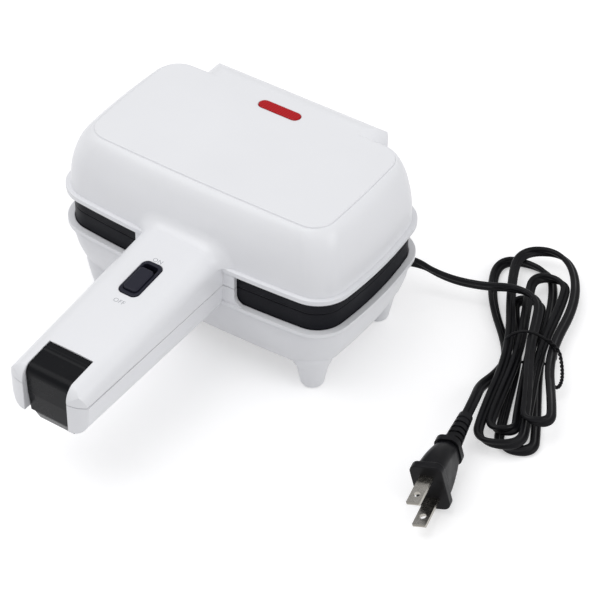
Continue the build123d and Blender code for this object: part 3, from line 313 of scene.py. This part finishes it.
def two_core_section():
    """The outline of two round cores with a thinner web between them, in millimetres."""
    web_angle = math.asin(web_half / core_radius)
    start = math.pi - web_angle
    outline = []
    for side in (1, -1):
        for step in range(core_steps + 1):
            angle = -start + 2 * start * step / core_steps
            x = side * (core_radius + core_radius * math.cos(angle))
            outline.append((x, side * core_radius * math.sin(angle)))
    return outline


def round_section(radius, count=12):
    """A circle's outline, in millimetres."""
    angles = [2 * math.pi * step / count for step in range(count)]
    return [(radius * math.cos(angle), radius * math.sin(angle)) for angle in angles]


def add_tie(finish):
    """A thin wire tie drawn tight round the hank's waist."""
    route = [
        hank_point(0.0, -1.0, tie_low),
        hank_point(0.0, -tie_half, tie_low),
        hank_point(2.0, -tie_half, tie_high),
        hank_point(5.0, -4.0, tie_crown),
        hank_point(7.0, 4.0, tie_crown),
        hank_point(6.0, tie_half, tie_high),
        hank_point(1.0, tie_half, tie_low),
        hank_point(0.0, 1.0, tie_low),
    ]
    line = smooth_line("tie_line", [place(*point) for point in route])
    along = Vector((-math.sin(hank_lean), math.cos(hank_lean), 0.0))
    rings = carry_section(line, round_section(tie_radius), along)
    return mesh_piece("tie", [rings], finish["tie_wire"])


def add_tie_ends(finish):
    """The tie's two ends, twisted round each other and curled beside the hank."""
    route = [
        hank_point(4.0, -7.5, tie_crown - 1.6),
        hank_point(1.0, -tie_half - 0.8, tie_high + 2.0),
        hank_point(-8.0, -tie_half - 3.2, tie_high - 0.5),
        hank_point(-16.0, -tie_half - 4.0, tie_high - 3.0),
        hank_point(-21.0, -tie_half - 2.0, tie_high - 3.8),
        hank_point(-19.0, -tie_half + 0.6, tie_high - 3.4),
    ]
    axis = smooth_line("twist_line", [place(*point) for point in route])
    upright = Vector((0.0, 0.0, 1.0))
    strands = []
    for phase in (0.0, math.pi):
        line = []
        for index, middle in enumerate(axis):
            ahead = heading(axis, index)
            side = ahead.cross(upright).normalized()
            up = side.cross(ahead)
            angle = phase + twist_turns * 2 * math.pi * index / len(axis)
            outward = math.cos(angle) * side + math.sin(angle) * up
            line.append(middle + twist_radius * MM * outward)
        section = round_section(strand_radius, strand_sides)
        strands.append(carry_section(line, section, upright))
    return mesh_piece("tie_ends", strands, finish["tie_wire"])


def add_cord(finish):
    """The mains cord from the bush to the plug, with the wire tie round its hank."""
    line = smooth_line("cord_line", cord_route())
    left = Vector((-math.cos(hank_lean), -math.sin(hank_lean), 0.0))
    wide = left * math.cos(cord_slant) + Vector((0, 0, math.sin(cord_slant)))
    rings = carry_section(line, two_core_section(), wide)
    cord = mesh_piece("cord", [rings], finish["black_cord"])
    tie = add_tie(finish)
    ends = add_tie_ends(finish)
    for piece in (cord, tie, ends):
        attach(piece, "base")
    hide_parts("mains_lead", "cord_hank", "plug_lead")
    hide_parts("cord_tie")


# ---------------------------------------------------------------- legs

# Measures shared with the solids, in millimetres
foot_x = 59.5
foot_y = 27.6
foot_radius = 5.4
foot_top_radius = 8.6
leg_top = 18.0

# The skin fitted over each leg's upper end
leg_low = 6.0  # the skin's lower edge
leg_sides = 48
leg_ring_pitch = 0.4
leg_ring_count = 53
skin_sunk = 0.1  # the lower edge lies this deep in the leg
skin_proud = 0.08  # the rest stands this far out of it
skin_slope = 0.1  # how fast it comes out
flare_top = 14.0  # where the fillet into the bowl is widest
flare_reach = 2.2
flare_fade = 4.0  # the fillet fades out within this height
shoulder_low = leg_top + 0.2
shoulder_height = 12.0


def leg_skin(angle, outward, height):
    """How far a leg's skin stands from its axis. It flares inward just under the bowl, and
    above the leg's top it rounds over into the bowl's wall."""
    radius = foot_radius + (foot_top_radius - foot_radius) * min(height / leg_top, 1.0)
    proud = min(skin_slope * (height - leg_low) - skin_sunk, skin_proud)
    climb = min(max(height - flare_top + flare_reach, 0.0), flare_reach)
    flare = flare_reach - math.sqrt(flare_reach**2 - climb**2)
    flare *= max(1.0 - max(height - flare_top, 0.0) / flare_fade, 0.0)
    inward = 0.5 - 0.5 * math.cos(angle - outward)
    rise = max(height - shoulder_low, 0.0) / shoulder_height
    return (radius + proud) * math.sqrt(max(1.0 - rise**2, 0.0)) + flare * inward


def leg_rings(x, y):
    """One leg's skin, as rings of points from the top down."""
    outward = math.atan2(math.copysign(1.0, y), math.copysign(1.0, x))
    angles = [2 * math.pi * step / leg_sides for step in range(leg_sides)]
    rings = []
    for level in reversed(range(leg_ring_count)):
        height = leg_low + leg_ring_pitch * level
        ring = []
        for angle in angles:
            reach = leg_skin(angle, outward, height)
            ring.append(place(x + reach * math.cos(angle), y + reach * math.sin(angle), height))
        rings.append(ring)
    return rings


def add_leg_fillets(finish):
    """Small fillets and rounded shoulders that run the legs smoothly into the bowl."""
    for side, x in (("right", foot_x), ("left", -foot_x)):
        for end, y in (("front", -foot_y), ("rear", foot_y)):
            name = f"leg_fillet_{end}_{side}"
            fillet = mesh_piece(name, [leg_rings(x, y)], finish["white_shell"])
            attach(fillet, "base")


# ---------------------------------------------------------------- openings

# The openings' corners beside the handle, in millimetres
neck_half_width = 27.5
neck_face_y = -43.9  # the fillets' front, just inside the shells' face
plate_face_y = -41.8  # their back, just in front of the plates
lower_rim_z = 43.0
upper_rim_z = 60.2
lower_corner_round = 4.5
upper_corner_round = 1.8
corner_steps = 10
fillet_root = 0.3  # how deep a fillet stands in the shell


def corner_outline(side, rim_z, radius, up):
    """A hollow corner fillet between the handle's neck and a rim, as x and z pairs."""
    outline = [(-fillet_root, radius), (-fillet_root, -fillet_root), (radius, -fillet_root)]
    for step in range(corner_steps + 1):
        angle = -math.pi / 2 * (1 + step / corner_steps)
        outline.append((radius + radius * math.cos(angle), radius + radius * math.sin(angle)))
    if side != up:
        outline.reverse()  # mirrored once, so its way round turns
    return [(side * (neck_half_width + x), rim_z + up * z) for x, z in outline]


def add_opening_fillets(name, body, rim_z, radius, up, finish):
    """Rounds an opening's two corners beside the handle. The fillets stand up on the lower
    rim, where up is 1, and hang from the upper one, where up is -1."""
    fillets = []
    for side in (-1, 1):
        outline = corner_outline(side, rim_z, radius, up)
        ends = (neck_face_y, plate_face_y)
        fillets.append([[place(x, y, z) for x, z in outline] for y in ends])
    piece = mesh_piece(name, fillets, finish["white_shell"], smooth=False)
    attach(piece, body)


# ---------------------------------------------------------------- finishes

# Patterns are scaled in features per metre. Most of a noise pattern lies between these.
noise_low = 0.3
noise_high = 0.7
edge_round = 0.7  # mm, how far the mouldings' edges are rounded off in the shading


def start_finish(name, colour, roughness):
    """A material with its shader and its coordinates, ready for its detail."""
    material = bpy.data.materials.new(name)
    material.use_nodes = True
    tree = material.node_tree
    shader = tree.nodes["Principled BSDF"]
    shader.inputs["Base Color"].default_value = (*colour, 1.0)
    shader.inputs["Roughness"].default_value = roughness
    where = tree.nodes.new("ShaderNodeTexCoord").outputs["Object"]
    return material, tree, shader, where


def add_noise(tree, where, scale, detail=4.0, stretch=(1.0, 1.0, 1.0)):
    """A noise pattern over the object's own coordinates, stretched if asked."""
    mapping = tree.nodes.new("ShaderNodeMapping")
    mapping.inputs["Scale"].default_value = stretch
    tree.links.new(where, mapping.inputs["Vector"])
    noise = tree.nodes.new("ShaderNodeTexNoise")
    noise.inputs["Scale"].default_value = scale
    noise.inputs["Detail"].default_value = detail
    tree.links.new(mapping.outputs["Vector"], noise.inputs["Vector"])
    return noise.outputs["Fac"]


def vary_colour(tree, shader, pattern, dark, light):
    """Lets the base colour wander between two colours."""
    ramp = tree.nodes.new("ShaderNodeValToRGB")
    ramp.color_ramp.elements[0].position = noise_low
    ramp.color_ramp.elements[0].color = (*dark, 1.0)
    ramp.color_ramp.elements[1].position = noise_high
    ramp.color_ramp.elements[1].color = (*light, 1.0)
    tree.links.new(pattern, ramp.inputs["Fac"])
    tree.links.new(ramp.outputs["Color"], shader.inputs["Base Color"])


def vary_roughness(tree, shader, pattern, low, high):
    """Lets the gloss wander between two levels."""
    spread = tree.nodes.new("ShaderNodeMapRange")
    spread.inputs["From Min"].default_value = noise_low
    spread.inputs["From Max"].default_value = noise_high
    spread.inputs["To Min"].default_value = low
    spread.inputs["To Max"].default_value = high
    tree.links.new(pattern, spread.inputs["Value"])
    tree.links.new(spread.outputs["Result"], shader.inputs["Roughness"])


def add_bump(tree, shader, pattern, strength, depth_mm, edge_mm=0.0):
    """Fine relief from a pattern, and if asked edges that are rounded off in the shading."""
    bump = tree.nodes.new("ShaderNodeBump")
    if edge_mm:
        edges = tree.nodes.new("ShaderNodeBevel")
        edges.samples = 8
        edges.inputs["Radius"].default_value = edge_mm * MM
        tree.links.new(edges.outputs["Normal"], bump.inputs["Normal"])
    bump.inputs["Strength"].default_value = strength
    bump.inputs["Distance"].default_value = depth_mm * MM
    tree.links.new(pattern, bump.inputs["Height"])
    tree.links.new(bump.outputs["Normal"], shader.inputs["Normal"])


def scaled(colour, factor):
    """A colour made darker or lighter."""
    return tuple(part * factor for part in colour)


def moulded(name, colour, roughness, grain_mm, depth_mm, coat=0.0, specular=0.5):
    """Moulded plastic: a fine grain, and a gloss that wanders a little."""
    material, tree, shader, where = start_finish(name, colour, roughness)
    flow = add_noise(tree, where, 22.0, detail=3.0)
    gloss = add_noise(tree, where, 60.0, detail=5.0)
    grain = add_noise(tree, where, 1.0 / (grain_mm * MM), detail=2.0)
    vary_colour(tree, shader, flow, scaled(colour, 0.975), colour)
    vary_roughness(tree, shader, gloss, roughness * 0.85, roughness * 1.15)
    add_bump(tree, shader, grain, strength=0.35, depth_mm=depth_mm, edge_mm=edge_round)
    shader.inputs["Coat Weight"].default_value = coat
    shader.inputs["Coat Roughness"].default_value = 0.12
    shader.inputs["Specular IOR Level"].default_value = specular
    return material


def coated_casting():
    """The plates' dark non-stick coating over a cast skin, with fine pale specks."""
    colour = (0.0098, 0.0102, 0.0135)
    speck = (0.06, 0.06, 0.065)
    material, tree, shader, where = start_finish("cast_plate", colour, 0.42)
    shader.inputs["Specular IOR Level"].default_value = 0.08
    cast = add_noise(tree, where, 900.0, detail=6.0)
    specks = tree.nodes.new("ShaderNodeTexVoronoi")
    specks.inputs["Scale"].default_value = 1400.0
    tree.links.new(where, specks.inputs["Vector"])
    ramp = tree.nodes.new("ShaderNodeValToRGB")
    ramp.color_ramp.elements[0].position = 0.04
    ramp.color_ramp.elements[0].color = (*speck, 1.0)
    ramp.color_ramp.elements[1].position = 0.12
    ramp.color_ramp.elements[1].color = (*colour, 1.0)
    tree.links.new(specks.outputs["Distance"], ramp.inputs["Fac"])
    tree.links.new(ramp.outputs["Color"], shader.inputs["Base Color"])
    vary_roughness(tree, shader, add_noise(tree, where, 45.0), 0.34, 0.52)
    add_bump(tree, shader, cast, strength=0.5, depth_mm=0.05, edge_mm=edge_round)
    return material


def worked_metal(name, colour, roughness, stretch, depth_mm=0.01):
    """Bright metal with the lines of its rolling, drawing or turning."""
    material, tree, shader, where = start_finish(name, colour, roughness)
    shader.inputs["Metallic"].default_value = 1.0
    lines = add_noise(tree, where, 500.0, detail=3.0, stretch=stretch)
    vary_colour(tree, shader, add_noise(tree, where, 70.0), scaled(colour, 0.9), colour)
    vary_roughness(tree, shader, lines, roughness * 0.7, roughness * 1.3)
    add_bump(tree, shader, lines, strength=0.3, depth_mm=depth_mm)
    return material


def red_window():
    """The lamp's window: red plastic, finely ribbed."""
    colour = (0.47, 0.009, 0.014)
    material, tree, shader, where = start_finish("red_lens", colour, 0.22)
    shader.inputs["Specular IOR Level"].default_value = 0.12
    ribs = tree.nodes.new("ShaderNodeTexWave")
    ribs.inputs["Scale"].default_value = 260.0
    ribs.inputs["Distortion"].default_value = 0.4
    tree.links.new(where, ribs.inputs["Vector"])
    vary_colour(tree, shader, ribs.outputs["Fac"], scaled(colour, 0.82), colour)
    add_bump(tree, shader, ribs.outputs["Fac"], strength=0.12, depth_mm=0.05)
    shader.inputs["Coat Weight"].default_value = 0.05
    shader.inputs["Coat Roughness"].default_value = 0.05
    return material


def lamp_glass():
    """The neon lamp's glass: warm, half clear and a little uneven."""
    material, tree, shader, where = start_finish("lamp_glass", (0.85, 0.62, 0.48), 0.08)
    tint = add_noise(tree, where, 300.0)
    vary_colour(tree, shader, tint, (0.75, 0.5, 0.38), (0.9, 0.7, 0.55))
    vary_roughness(tree, shader, add_noise(tree, where, 120.0), 0.05, 0.14)
    shader.inputs["Transmission Weight"].default_value = 0.5
    return material


def woven_sleeve():
    """Glass-fibre sleeving: a fine braid over the wires."""
    colour = (0.80, 0.78, 0.72)
    material, tree, shader, where = start_finish("wire_sleeve", colour, 0.75)
    braid = tree.nodes.new("ShaderNodeTexVoronoi")
    braid.inputs["Scale"].default_value = 2200.0
    tree.links.new(where, braid.inputs["Vector"])
    vary_colour(tree, shader, braid.outputs["Distance"], scaled(colour, 0.7), colour)
    add_bump(tree, shader, braid.outputs["Distance"], strength=0.6, depth_mm=0.08)
    return material


def flexible_sheath(name, colour, roughness):
    """Black flexible plastic: fine dry grain and dull patches from handling."""
    material, tree, shader, where = start_finish(name, colour, roughness)
    patches = add_noise(tree, where, 90.0, detail=5.0)
    gloss = add_noise(tree, where, 140.0, detail=4.0)
    grain = add_noise(tree, where, 1700.0, detail=3.0)
    vary_colour(tree, shader, patches, scaled(colour, 0.75), scaled(colour, 1.4))
    vary_roughness(tree, shader, gloss, roughness * 0.75, roughness * 1.25)
    add_bump(tree, shader, grain, strength=0.3, depth_mm=0.03)
    shader.inputs["Specular IOR Level"].default_value = 0.15
    return material


def printed_ink():
    """Grey printing ink, laid on a little unevenly."""
    material, tree, shader, where = start_finish("ink", (0.33, 0.34, 0.37), 0.5)
    cover = add_noise(tree, where, 1500.0)
    vary_colour(tree, shader, cover, (0.28, 0.29, 0.32), (0.38, 0.39, 0.42))
    return material


def make_finishes():
    """A finish for each of the model's material slots, and one each for the tie and the ink."""
    even = (1.0, 1.0, 1.0)
    along_x = (0.05, 1.0, 1.0)
    along_z = (1.0, 1.0, 0.1)
    return {
        "white_shell": moulded(
            "white_shell",
            (0.835, 0.842, 0.872),
            roughness=0.36,
            grain_mm=0.45,
            depth_mm=0.012,
            coat=0.12,
        ),
        "black_latch": moulded(
            "black_latch",
            (0.0062, 0.0066, 0.0082),
            roughness=0.28,
            grain_mm=0.35,
            depth_mm=0.012,
            specular=0.11,
        ),
        "dark_switch": moulded(
            "dark_switch",
            (0.0145, 0.015, 0.027),
            roughness=0.38,
            grain_mm=0.3,
            depth_mm=0.015,
            specular=0.2,
        ),
        "phenolic": moulded(
            "phenolic",
            (0.030, 0.027, 0.026),
            roughness=0.45,
            grain_mm=0.3,
            depth_mm=0.02,
        ),
        "cast_plate": coated_casting(),
        # name, colour, roughness, way of the lines, and their depth in millimetres
        "heater_sheath": worked_metal("heater_sheath", (0.42, 0.41, 0.39), 0.45, even, 0.02),
        "sheet_metal": worked_metal("sheet_metal", (0.70, 0.71, 0.72), 0.28, along_x),
        "zinc_screw": worked_metal("zinc_screw", (0.72, 0.73, 0.74), 0.30, along_z),
        "fuse_body": worked_metal("fuse_body", (0.75, 0.68, 0.52), 0.30, along_x),
        "steel_pin": worked_metal("steel_pin", (0.62, 0.63, 0.65), 0.22, along_x),
        "nickel": worked_metal("nickel", (0.46, 0.44, 0.40), 0.24, along_z, 0.006),
        "red_lens": red_window(),
        "lamp_glass": lamp_glass(),
        "wire_sleeve": woven_sleeve(),
        "black_cord": flexible_sheath("black_cord", (0.0055, 0.0055, 0.0068), 0.38),
        "tie_wire": flexible_sheath("tie_wire", (0.0055, 0.0055, 0.0065), 0.42),
        "ink": printed_ink(),
    }


def dress_nodes(finish):
    """Gives every solid the finish of its material slot, but the switch's case a dark one,
    since only its black bezel shows."""
    for part in frame["record"]["subparts"]:
        solid = nodes[part["node"]]
        solid.data.materials.clear()
        solid.data.materials.append(finish[part["material_slot"]])
    nodes["switch_body"].data.materials[0] = finish["dark_switch"]


# ---------------------------------------------------------------- words

# The words at the switch, on the handle's sloping top, in millimetres but for the slope and
# the spacing
handle_top_z = 67.6
handle_slope = 0.104
switch_y = -76.0
word_on_y = -63.4
word_off_y = -91.9
word_size = 3.2
word_spacing = 1.08
word_thickness = 0.03
stroke_thinning = 0.03


def add_word(name, text, y, finish):
    """One of the switch's printed words, flat on the handle's top."""
    data = bpy.data.curves.new(name, "FONT")
    data.body = text
    data.size = word_size * MM
    data.align_x = "CENTER"
    data.align_y = "CENTER"
    data.space_character = word_spacing
    data.extrude = word_thickness / 2 * MM
    data.offset = -stroke_thinning * MM
    data.materials.append(finish["ink"])
    word = link(name, data)
    height = handle_top_z + handle_slope * (y - switch_y)
    word.location = place(0, y, height)
    word.rotation_euler = (math.atan(handle_slope), 0, 0)
    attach(word, "lid")


# ---------------------------------------------------------------- studio

# Lengths in metres
floor_half = 4.0
floor_colour = (0.74, 0.74, 0.75)
floor_glow = 0.42  # only for the camera and in reflections, where it makes the floor white
room_light = 0.62  # the white world's strength, but for the camera
lamp_aim = (0.03, 0.0, 0.05)


def add_floor():
    """A pale floor that shows white to the camera and keeps the object's soft shadow."""
    mesh = bpy.data.meshes.new("floor")
    corners = [
        (-floor_half, -floor_half, 0),
        (floor_half, -floor_half, 0),
        (floor_half, floor_half, 0),
        (-floor_half, floor_half, 0),
    ]
    mesh.from_pydata(corners, [], [(0, 1, 2, 3)])
    floor = link("floor", mesh)
    material = bpy.data.materials.new("floor")
    material.use_nodes = True
    tree = material.node_tree
    tree.nodes.clear()
    matt = tree.nodes.new("ShaderNodeBsdfDiffuse")
    matt.inputs["Color"].default_value = (*floor_colour, 1.0)
    glow = tree.nodes.new("ShaderNodeEmission")
    rays = tree.nodes.new("ShaderNodeLightPath")
    seen = tree.nodes.new("ShaderNodeMath")
    seen.operation = "MAXIMUM"
    tree.links.new(rays.outputs["Is Camera Ray"], seen.inputs[0])
    tree.links.new(rays.outputs["Is Glossy Ray"], seen.inputs[1])
    share = tree.nodes.new("ShaderNodeMath")
    share.operation = "MULTIPLY"
    share.inputs[1].default_value = floor_glow
    tree.links.new(seen.outputs["Value"], share.inputs[0])
    tree.links.new(share.outputs["Value"], glow.inputs["Strength"])
    both = tree.nodes.new("ShaderNodeAddShader")
    tree.links.new(matt.outputs["BSDF"], both.inputs[0])
    tree.links.new(glow.outputs["Emission"], both.inputs[1])
    out = tree.nodes.new("ShaderNodeOutputMaterial")
    tree.links.new(both.outputs["Shader"], out.inputs["Surface"])
    mesh.materials.append(material)


def add_world():
    """White to the camera, and a soft even light on the object."""
    world = bpy.data.worlds.new("studio")
    bpy.context.scene.world = world
    world.use_nodes = True
    tree = world.node_tree
    background = tree.nodes["Background"]
    background.inputs["Color"].default_value = (1.0, 1.0, 1.0, 1.0)
    rays = tree.nodes.new("ShaderNodeLightPath")
    level = tree.nodes.new("ShaderNodeMapRange")
    level.inputs["To Min"].default_value = room_light
    level.inputs["To Max"].default_value = 1.0
    tree.links.new(rays.outputs["Is Camera Ray"], level.inputs["Value"])
    tree.links.new(level.outputs["Result"], background.inputs["Strength"])


def add_lamp(name, spot, size, watts):
    """A soft square lamp that faces the object."""
    data = bpy.data.lights.new(name, "AREA")
    data.size = size
    data.energy = watts
    lamp = link(name, data)
    lamp.location = spot
    aim = Vector(lamp_aim) - Vector(spot)
    lamp.rotation_mode = "QUATERNION"
    lamp.rotation_quaternion = aim.to_track_quat("-Z", "Y")


def add_studio():
    """The floor, the world and two lamps: a large one at the left, a weak one at the right."""
    add_floor()
    add_world()
    add_lamp("key", (-0.5, -0.3, 1.5), size=1.3, watts=9.3)
    add_lamp("fill", (1.4, 0.2, 0.8), size=0.9, watts=4.8)
    scene = bpy.context.scene
    scene.view_settings.view_transform = "Standard"


# ---------------------------------------------------------------- all together

add_camera()
finishes = make_finishes()
add_cord(finishes)
dress_nodes(finishes)
add_leg_fillets(finishes)
add_opening_fillets("lower_opening_fillets", "base", lower_rim_z, lower_corner_round, 1, finishes)
add_opening_fillets("upper_opening_fillets", "lid", upper_rim_z, upper_corner_round, -1, finishes)
add_word("word_on", "ON", word_on_y, finishes)
add_word("word_off", "OFF", word_off_y, finishes)
add_studio()

bpy.context.view_layer.update()
